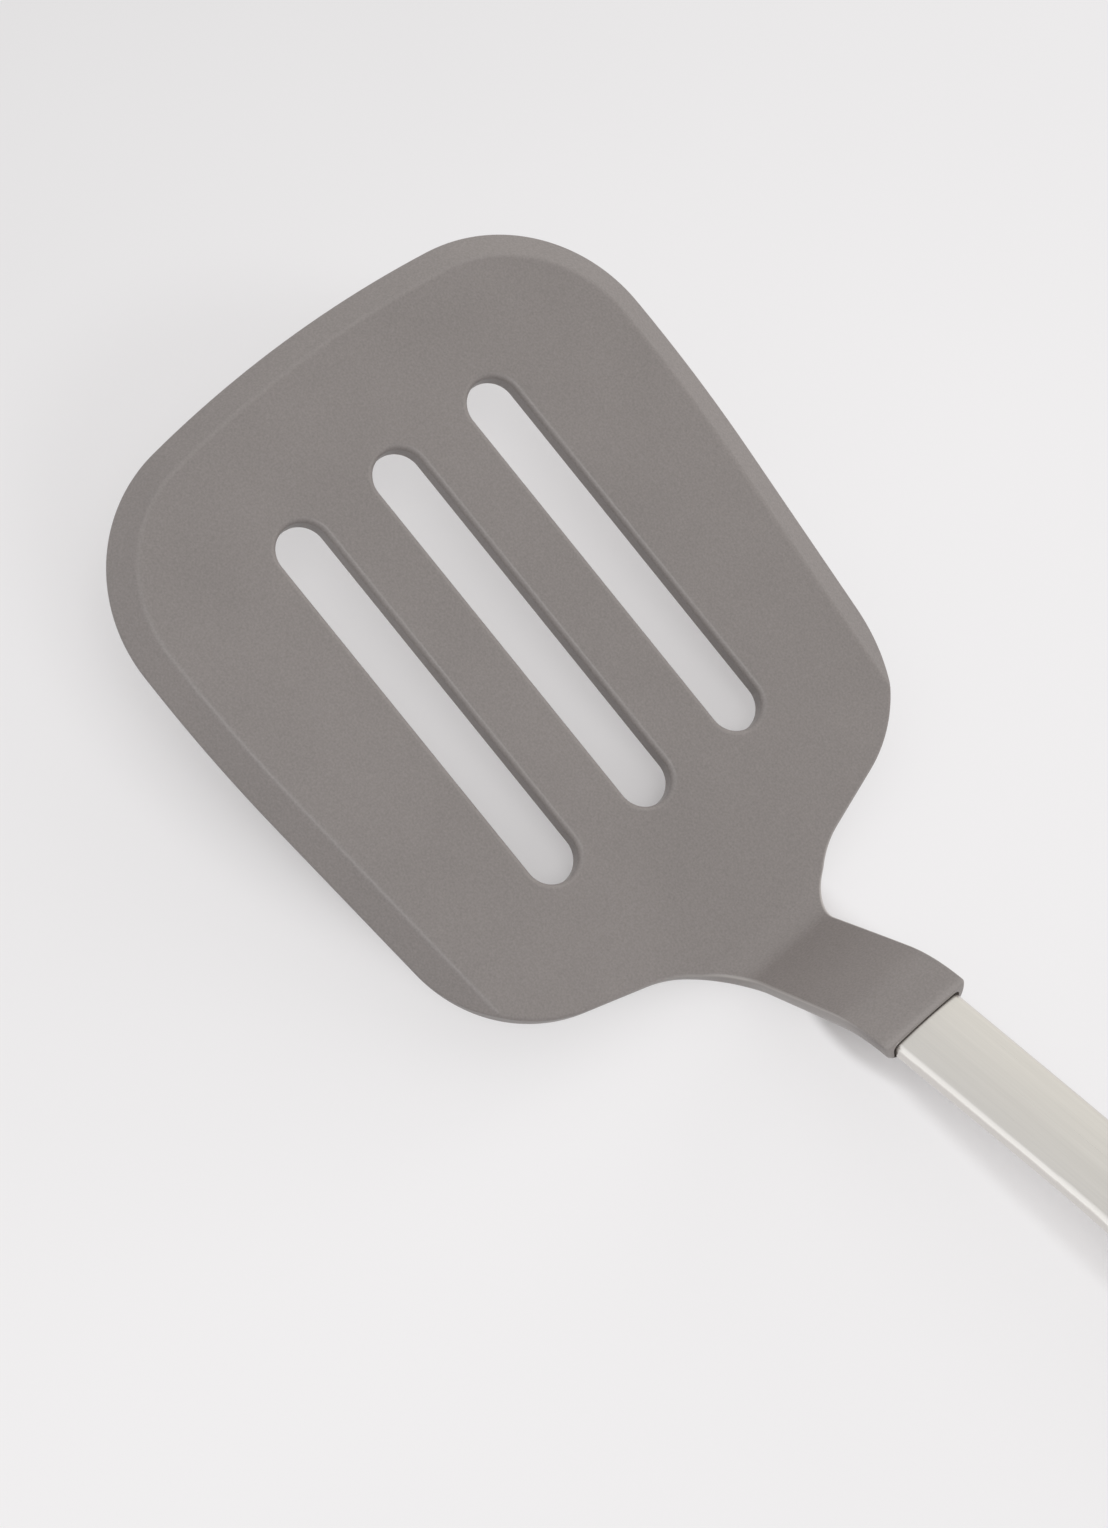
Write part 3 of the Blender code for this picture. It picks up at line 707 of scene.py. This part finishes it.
def bend_tree():
    """Bends geometry about the y axis from a station on."""
    sizes = [(label, "NodeSocketFloat") for label in BEND_SIZES]
    tree, given = new_shape_tree("bend along spine", sizes)
    place = add_node(tree, "GeometryNodeInputPosition").outputs[0]
    place = add_node(tree, "ShaderNodeSeparateXYZ", {0: place}).outputs
    beyond = work_out(tree, "SUBTRACT", place["X"], given["Start"])
    clamped = work_out(tree, "MINIMUM", work_out(tree, "MAXIMUM", beyond, 0.0), given["Length"])
    turn = work_out(tree, "DIVIDE", clamped, given["Radius"])
    straight = work_out(tree, "SUBTRACT", beyond, clamped)
    reach = work_out(tree, "SUBTRACT", given["Radius"], place["Z"])
    sine, cosine = work_out(tree, "SINE", turn), work_out(tree, "COSINE", turn)
    across = work_out(tree, "MULTIPLY_ADD", reach, sine, given["Start"])
    x = work_out(tree, "MULTIPLY_ADD", straight, cosine, across)
    dropped = work_out(tree, "SUBTRACT", given["Radius"], work_out(tree, "MULTIPLY", reach, cosine))
    z = work_out(tree, "MULTIPLY_ADD", straight, sine, dropped)
    bent = add_node(tree, "ShaderNodeCombineXYZ", {"X": x, "Y": place["Y"], "Z": z}).outputs[0]
    moved = add_node(tree, "GeometryNodeSetPosition", {"Geometry": given["Geometry"], "Position": bent})
    return end_shape_tree(tree, moved.outputs[0])


def keep_as_attribute(tree, shape, name, value, data_type, domain):
    """The shape with a value stored on it under a name."""
    node = add_node(
        tree,
        "GeometryNodeStoreNamedAttribute",
        {"Geometry": shape, "Name": name},
        data_type=data_type,
        domain=domain,
    )
    tree.links.new(value, next(s for s in node.inputs if s.name == "Value" and s.enabled))
    return node.outputs[0]


def punch_and_bend_tree():
    """Punches a row of holes and a pocket in a flat blank, then bends it and lays it down.

    The blank's flat place is kept as an attribute and as a UV map, so that a finish can follow the bends.
    """
    sizes = [("Punch", "NodeSocketObject"), ("Punch Count", "NodeSocketInt")]
    sizes += [("First Punch", "NodeSocketVector"), ("Punch Step", "NodeSocketVector")]
    sizes += [("Pocket", "NodeSocketObject"), ("Section Middle", "NodeSocketFloat")]
    for bend in BENDS:
        sizes += [(f"{bend} {size}", "NodeSocketFloat") for size in BEND_SIZES]
    sizes += [("Pitch", "NodeSocketFloat"), ("Place", "NodeSocketVector")]
    sizes += [("Finish", "NodeSocketMaterial")]
    tree, given = new_shape_tree("punch and bend", sizes)

    places = {"Start Location": given["First Punch"], "Offset": given["Punch Step"]}
    row = add_node(
        tree,
        "GeometryNodeMeshLine",
        {"Count": given["Punch Count"], **places},
        mode="OFFSET",
    )
    punch = add_node(tree, "GeometryNodeObjectInfo", {"Object": given["Punch"]})
    punches = add_node(
        tree,
        "GeometryNodeInstanceOnPoints",
        {"Points": row.outputs["Mesh"], "Instance": punch.outputs["Geometry"]},
    )
    holes = add_node(tree, "GeometryNodeRealizeInstances", {0: punches.outputs[0]})
    pocket = add_node(tree, "GeometryNodeObjectInfo", {"Object": given["Pocket"]})
    shape = given["Geometry"]
    for cutter in (holes.outputs[0], pocket.outputs["Geometry"]):
        punched = add_node(
            tree,
            "GeometryNodeMeshBoolean",
            {"Mesh 1": shape, "Mesh 2": cutter},
            operation="DIFFERENCE",
            solver="EXACT",
        )
        shape = punched.outputs["Mesh"]

    flat = add_node(tree, "GeometryNodeInputPosition").outputs[0]
    shape = keep_as_attribute(tree, shape, "flat_place", flat, "FLOAT_VECTOR", "POINT")
    parts = add_node(tree, "ShaderNodeSeparateXYZ", {0: flat}).outputs
    up = work_out(tree, "SUBTRACT", parts["Z"], given["Section Middle"])
    round_the_section = work_out(tree, "ARCTAN2", up, parts["Y"])
    unrolled = add_node(tree, "ShaderNodeCombineXYZ", {"X": parts["X"], "Y": round_the_section})
    shape = keep_as_attribute(tree, shape, "UVMap", unrolled.outputs[0], "FLOAT2", "CORNER")

    bending = bend_tree()
    for bend in BENDS:
        inputs = {size: given[f"{bend} {size}"] for size in BEND_SIZES}
        bent = add_node(tree, "GeometryNodeGroup", {"Geometry": shape, **inputs}, node_tree=bending)
        shape = bent.outputs[0]
    turn = add_node(tree, "ShaderNodeCombineXYZ", {"Y": given["Pitch"]}).outputs[0]
    laid = add_node(
        tree,
        "GeometryNodeTransform",
        {"Geometry": shape, "Translation": given["Place"], "Rotation": turn},
    )
    smooth = add_node(tree, "GeometryNodeSetShadeSmooth", {"Geometry": laid.outputs[0]})
    real = add_node(tree, "GeometryNodeRealizeInstances", {0: smooth.outputs[0]})
    finished = add_node(
        tree,
        "GeometryNodeSetMaterial",
        {"Geometry": real.outputs[0], "Material": given["Finish"]},
    )
    return end_shape_tree(tree, finished.outputs[0])


def resting_place():
    """The pitch and the place at which the frame has the blade, from the mount on its underside."""
    mount = next(m for m in frame["record"]["mounts"] if m["name"] == "blade_underside")
    facing = Vector(mount["axis"])
    pitch = math.atan2(-facing.x, -facing.z)
    flat = Vector(((SLOT_FRONT_MARGIN + SLOT_REAR) / 2, SLOT_PITCH / 2, 0.0))
    return pitch, Vector(mount["pos_m"]) - Matrix.Rotation(pitch, 3, "Y") @ flat


def shape_piece(blank, tree, sizes):
    """Runs the tree on a blank, and leaves a plain mesh whose flats shade flat and its rounds round."""
    modifier = blank.modifiers.new("shape", "NODES")
    modifier.node_group = tree
    given = [item for item in tree.interface.items_tree if item.in_out == "INPUT"]
    identifiers = {item.name: item.identifier for item in given}
    for label, value in sizes.items():
        modifier[identifiers[label]] = value
    plain_mesh(blank)
    blank.data.set_sharp_from_angle(angle=math.radians(SHARPEST_SMOOTH_ANGLE))
    weighted = blank.modifiers.new("flat faces lead", "WEIGHTED_NORMAL")
    weighted.keep_sharp = True
    plain_mesh(blank)
    return blank


def common_sizes(finish):
    """The inputs that the head and the handle share."""
    pitch, place = resting_place()
    sizes = {"Pitch": pitch, "Place": place, "Finish": finish}
    for bend, values in BENDS.items():
        for size, value in zip(BEND_SIZES, values):
            sizes[f"{bend} {size}"] = value
    return sizes


def make_head(tree, finish):
    """The moulded head, with its slots and the pocket that the handle's tang sits in."""
    punch = slot_punch()
    pocket = bar_blank("tang_pocket", MOULD_GAP)
    sizes = {
        "Punch": punch,
        "Punch Count": SLOT_COUNT,
        "First Punch": (0.0, -SLOT_PITCH * (SLOT_COUNT - 1) / 2, 0.0),
        "Punch Step": (0.0, SLOT_PITCH, 0.0),
        "Pocket": pocket,
        "Section Middle": BLADE_THICKNESS / 2,
    }
    head = shape_piece(head_blank(), tree, {**sizes, **common_sizes(finish)})
    for cutter in (punch, pocket):
        bpy.data.objects.remove(cutter)
    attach(head, "root")
    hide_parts("silicone_head")


def make_handle(tree, finish):
    """The handle bar, with its rivet holes, its milled tang and its hanging hole."""
    punch = rivet_hole_punch()
    pocket = flat_solid("hang_hole", hang_hole_loops())
    middle = (TANG_START + LAP_END - STEEL_GAP) / 2
    sizes = {
        "Punch": punch,
        "Punch Count": RIVET_COUNT,
        "First Punch": (middle - RIVET_SPACING * (RIVET_COUNT - 1) / 2, 0.0, 0.0),
        "Punch Step": (RIVET_SPACING, 0.0, 0.0),
        "Pocket": pocket,
        "Section Middle": (BAR_UNDERSIDE + BAR_TOP) / 2,
    }
    handle = shape_piece(bar_blank("turner_handle", 0.0), tree, {**sizes, **common_sizes(finish)})
    for cutter in (punch, pocket):
        bpy.data.objects.remove(cutter)
    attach(handle, "root")
    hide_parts("handle_bar")


# Finishes


def new_finish(name):
    """A material with its node tree and its shader."""
    material = bpy.data.materials.new(name)
    material.use_nodes = True
    return material, material.node_tree, material.node_tree.nodes["Principled BSDF"]


def grain(tree, place, scale, detail):
    """A noise pattern as a number from 0 to 1."""
    inputs = {"Vector": place, "Scale": scale, "Detail": detail}
    return add_node(tree, "ShaderNodeTexNoise", inputs).outputs["Fac"]


def drawn_out_grain(tree, place, scales, detail):
    """A noise pattern that is as fine along each axis as its scale there says."""
    scaled = add_node(tree, "ShaderNodeMapping", {"Vector": place, "Scale": scales})
    return grain(tree, scaled.outputs[0], 1.0, detail)


def blended(tree, first, second, share):
    """Two numbers in one: a share of the first and the rest of the second."""
    rest = work_out(tree, "MULTIPLY", second, 1 - share)
    return work_out(tree, "MULTIPLY_ADD", first, share, rest)


def ramp(tree, value, stops):
    """A colour ramp through (position, colour) stops."""
    node = add_node(tree, "ShaderNodeValToRGB", {"Fac": value})
    elements = node.color_ramp.elements
    while len(elements) < len(stops):
        elements.new(0.5)
    for element, (position, colour) in zip(elements, stops):
        element.position = position
        element.color = (*colour, 1)
    return node.outputs["Color"]


def two_tone(tree, value, ends, dark, light):
    """A colour that goes from dark to light as a value goes from one end to the other."""
    return ramp(tree, value, list(zip(ends, (dark, light))))


def between(tree, value, low, high):
    """A number from 0 to 1 spread over a range."""
    node = add_node(tree, "ShaderNodeMapRange", {"Value": value, "To Min": low, "To Max": high})
    return node.outputs["Result"]


def eased_between(tree, value, start, end, low=0.0, high=1.0):
    """A number that goes from low to high as a value goes from start to end, level at both."""
    node = add_node(
        tree,
        "ShaderNodeMapRange",
        {"Value": value, "From Min": start, "From Max": end, "To Min": low, "To Max": high},
        interpolation_type="SMOOTHSTEP",
    )
    return node.outputs["Result"]


def bumps(tree, height, strength, depth):
    """A normal that follows a pattern's height."""
    inputs = {"Height": height, "Strength": strength, "Distance": depth}
    return add_node(tree, "ShaderNodeBump", inputs).outputs[0]


def grey_silicone():
    """Warm grey silicone from a lightly blasted mould: a fine grain and faint cloudiness, lightened by
    painted highlights.
    """
    material, tree, shader = new_finish("grey silicone")
    place = add_node(tree, "ShaderNodeTexCoord").outputs["Object"]
    fine = grain(tree, place, SILICONE_GRAIN, detail=1.0)
    cloud = grain(tree, place, SILICONE_CLOUD, detail=3.0)
    mixed = blended(tree, cloud, fine, SILICONE_CLOUD_SHARE)
    # The painted highlights mix the lighter colour in where the mesh says
    colours = {
        "Factor": add_node(tree, "ShaderNodeAttribute", attribute_name="painted_highlight").outputs["Fac"],
        "A": two_tone(tree, mixed, PATTERN_ENDS, SILICONE_DARK, SILICONE_LIGHT),
        "B": (*SILICONE_PAINTED_HIGHLIGHT, 1),
    }
    looks = {
        "Base Color": add_node(tree, "ShaderNodeMix", colours, data_type="RGBA").outputs["Result"],
        "Roughness": between(tree, cloud, *SILICONE_ROUGHNESS),
        "Normal": bumps(tree, fine, SILICONE_BUMP, SILICONE_BUMP_DEPTH),
        "Specular IOR Level": SILICONE_SHINE,
    }
    fill(tree, shader, looks)
    return material


def brushed_steel():
    """Steel brushed along the handle: fine streaks that follow its bends."""
    material, tree, shader = new_finish("brushed steel")
    flat = add_node(tree, "ShaderNodeAttribute", attribute_name="flat_place").outputs["Vector"]
    streaks = drawn_out_grain(tree, flat, STEEL_STREAKS, detail=3.0)
    bands = drawn_out_grain(tree, flat, STEEL_BANDS, detail=2.0)
    mixed = blended(tree, bands, streaks, STEEL_BAND_SHARE)
    tangent = add_node(tree, "ShaderNodeTangent", direction_type="UV_MAP", uv_map="UVMap")
    looks = {
        "Base Color": two_tone(tree, mixed, PATTERN_ENDS, STEEL_DARK, STEEL_LIGHT),
        "Roughness": between(tree, streaks, *STEEL_ROUGHNESS),
        "Normal": bumps(tree, streaks, STEEL_BUMP, STEEL_BUMP_DEPTH),
        "Tangent": tangent.outputs[0],
        "Metallic": 1.0,
        "Anisotropic": STEEL_ANISOTROPY,
        "Anisotropic Rotation": STEEL_ANISOTROPY_TURN,
    }
    fill(tree, shader, looks)
    return material


def inner_steel(name, dark, light, scales):
    """Plain steel that the silicone covers, with the faint marks of rolling or pressing."""
    material, tree, shader = new_finish(name)
    place = add_node(tree, "ShaderNodeTexCoord").outputs["Object"]
    marks = drawn_out_grain(tree, place, scales, detail=3.0)
    looks = {
        "Base Color": two_tone(tree, marks, PATTERN_ENDS, dark, light),
        "Roughness": between(tree, marks, *INNER_STEEL_ROUGHNESS),
        "Metallic": 1.0,
    }
    fill(tree, shader, looks)
    return material


def seen_ray(tree):
    """One for a ray that is seen or mirrored, and nought for one that only lights."""
    path = add_node(tree, "ShaderNodeLightPath").outputs
    seen = work_out(tree, "MAXIMUM", path["Is Camera Ray"], path["Is Glossy Ray"])
    return work_out(tree, "MAXIMUM", seen, path["Is Transmission Ray"])


def show_mixed(tree, output, share, first, second):
    """Makes a mix of two shaders what an output shows, with a share of the second."""
    mix = add_node(tree, "ShaderNodeMixShader", {0: share, 1: first.outputs[0], 2: second.outputs[0]})
    tree.links.new(mix.outputs[0], tree.nodes[output].inputs["Surface"])


def pale_paper():
    """The pale sheet under the turner, with painted shade darkening it towards the front, and its shadows
    whitened by its own glow.
    """
    material, tree, shader = new_finish("pale paper")
    place = add_node(tree, "ShaderNodeTexCoord").outputs["Object"]
    along = add_node(tree, "ShaderNodeSeparateXYZ", {0: place}).outputs["X"]
    # Painted shade: the paper's colour darkens towards the front
    clear_of_painted_shade = eased_between(tree, along, FLOOR_SHADE_FRONT, FLOOR_SHADE_END)
    uneven = blended(tree, grain(tree, place, PAPER_GRAIN, detail=2.0), clear_of_painted_shade, PAPER_GRAIN_SHARE)
    colour = two_tone(tree, uneven, PAPER_ENDS, PAPER_DARK, PAPER_LIGHT)
    looks = {"Base Color": colour, "Roughness": PAPER_ROUGHNESS, "Specular IOR Level": PAPER_SHINE}
    fill(tree, shader, looks)
    # Painted light: camera and mirrors see part of the floor as its glow, which whitens its shadows, less
    # so in the ovals
    share = work_out(tree, "MULTIPLY", seen_ray(tree), WHITENED)
    for middle, half_lengths, kept in SHADED_OVALS:
        offset = work_out_vector(tree, "SUBTRACT", place, middle)
        scaled = work_out_vector(tree, "DIVIDE", offset, half_lengths)
        outwards = work_out_vector(tree, "LENGTH", scaled)
        fade = eased_between(tree, outwards, 1.0, SHADED_OVAL_FADE, low=kept)
        share = work_out(tree, "MULTIPLY", share, fade)
    glow = add_node(tree, "ShaderNodeEmission", {"Color": colour})
    show_mixed(tree, "Material Output", share, shader, glow)
    return material


# Studio


def make_floor():
    """A wide round sheet of pale paper, just under the turner."""
    shape = bmesh.new()
    bmesh.ops.create_circle(shape, cap_ends=True, segments=FLOOR_SEGMENTS, radius=FLOOR_RADIUS)
    mesh = bpy.data.meshes.new("studio_floor")
    shape.to_mesh(mesh)
    shape.free()
    floor = bpy.data.objects.new("studio_floor", mesh)
    floor.location.z = -FLOOR_DROP
    mesh.materials.append(pale_paper())
    bpy.context.scene.collection.objects.link(floor)


def hang_lamp(name, kind, power, place):
    """A lamp at a place, facing the middle of the picture. Returns it with the object that holds it."""
    lamp = bpy.data.lights.new(name, kind)
    lamp.energy = power
    holder = bpy.data.objects.new(name, lamp)
    holder.location = place
    holder.rotation_euler = (Vector(CAMERA_AIM) - place).to_track_quat("-Z", "Y").to_euler()
    bpy.context.scene.collection.objects.link(holder)
    return lamp, holder


def make_lamps():
    """A soft lamp right of the camera and above it, and a low far one that the steel doesn't mirror."""
    aim = Vector(CAMERA_AIM)
    view = (Vector(CAMERA_EYE) - aim).normalized()
    right = Vector((0, 0, 1)).cross(view).normalized()
    up = view.cross(right)
    side = right * math.tan(math.radians(LAMP_RIGHT)) + up * math.tan(math.radians(LAMP_UP))
    place = aim + (view + side).normalized() * LAMP_DISTANCE
    camera_lamp, _ = hang_lamp("camera_lamp", "AREA", LAMP_POWER, place)
    camera_lamp.size = LAMP_SIZE
    back_lamp, holder = hang_lamp("back_lamp", "SUN", BACK_LAMP_POWER, aim + Vector(BACK_LAMP_FROM))
    back_lamp.angle = math.radians(BACK_LAMP_SPREAD)
    holder.visible_glossy = False


def make_world():
    """A pale room that lights softly from all sides, and that the steel and the silicone mirror."""
    world = bpy.data.worlds.new("pale room")
    bpy.context.scene.world = world
    world.use_nodes = True
    tree = world.node_tree
    direction = add_node(tree, "ShaderNodeTexCoord").outputs["Generated"]
    parts = add_node(tree, "ShaderNodeSeparateXYZ", {0: direction}).outputs
    towards_back = work_out_vector(tree, "DOT_PRODUCT", direction, BACK_FACING)
    light = work_out(tree, "MULTIPLY_ADD", towards_back, ROOM_LIGHT_CHANGE, ROOM_LIGHT)
    room = tree.nodes["Background"]
    fill(tree, room, {"Color": (*ROOM_COLOUR, 1), "Strength": light})

    above = work_out(tree, "MAXIMUM", parts["Z"], 0.0)
    low = work_out(tree, "POWER", work_out(tree, "SUBTRACT", 1.0, above), HORIZON_SHARPNESS)
    towards_window = work_out_vector(tree, "DOT_PRODUCT", direction, WINDOW_FACING)
    window = eased_between(tree, towards_window, WINDOW_EDGE, WINDOW_HEART, high=WINDOW_MIRRORED)
    seen = work_out(tree, "ADD", window, 1.0)
    seen = work_out(tree, "MULTIPLY_ADD", low, HORIZON_MIRRORED, seen)
    walls = ramp(tree, parts["Y"], WALLS)
    mirrored_room = add_node(tree, "ShaderNodeBackground", {"Color": walls, "Strength": seen})
    show_mixed(tree, "World Output", seen_ray(tree), room, mirrored_room)


def make_camera():
    """The camera at the photograph's place and angle."""
    lens = bpy.data.cameras.new("photo_camera")
    lens.lens = CAMERA_LENS
    lens.sensor_width = CAMERA_SENSOR
    lens.clip_start = CAMERA_NEAR_LIMIT
    camera = bpy.data.objects.new("photo_camera", lens)
    camera.location = CAMERA_EYE
    facing = (Vector(CAMERA_AIM) - Vector(CAMERA_EYE)).to_track_quat("-Z", "Y").to_matrix()
    camera.rotation_euler = (facing @ Matrix.Rotation(math.radians(CAMERA_ROLL), 3, "Z")).to_euler()
    bpy.context.scene.collection.objects.link(camera)
    bpy.context.scene.camera = camera


shaping = punch_and_bend_tree()
make_head(shaping, grey_silicone())
make_handle(shaping, brushed_steel())
rolled = inner_steel("rolled steel", ROLLED_DARK, ROLLED_LIGHT, ROLLED_MARKS)
pressed = inner_steel("pressed steel", PRESSED_DARK, PRESSED_LIGHT, PRESSED_MARKS)
frame["nodes"]["core_plate"].material_slots[0].material = rolled
for rivet in ("tang_rivet_front", "tang_rivet_rear"):
    frame["nodes"][rivet].material_slots[0].material = pressed
make_floor()
make_lamps()
make_world()
make_camera()
bpy.context.scene.view_settings.view_transform = "Standard"
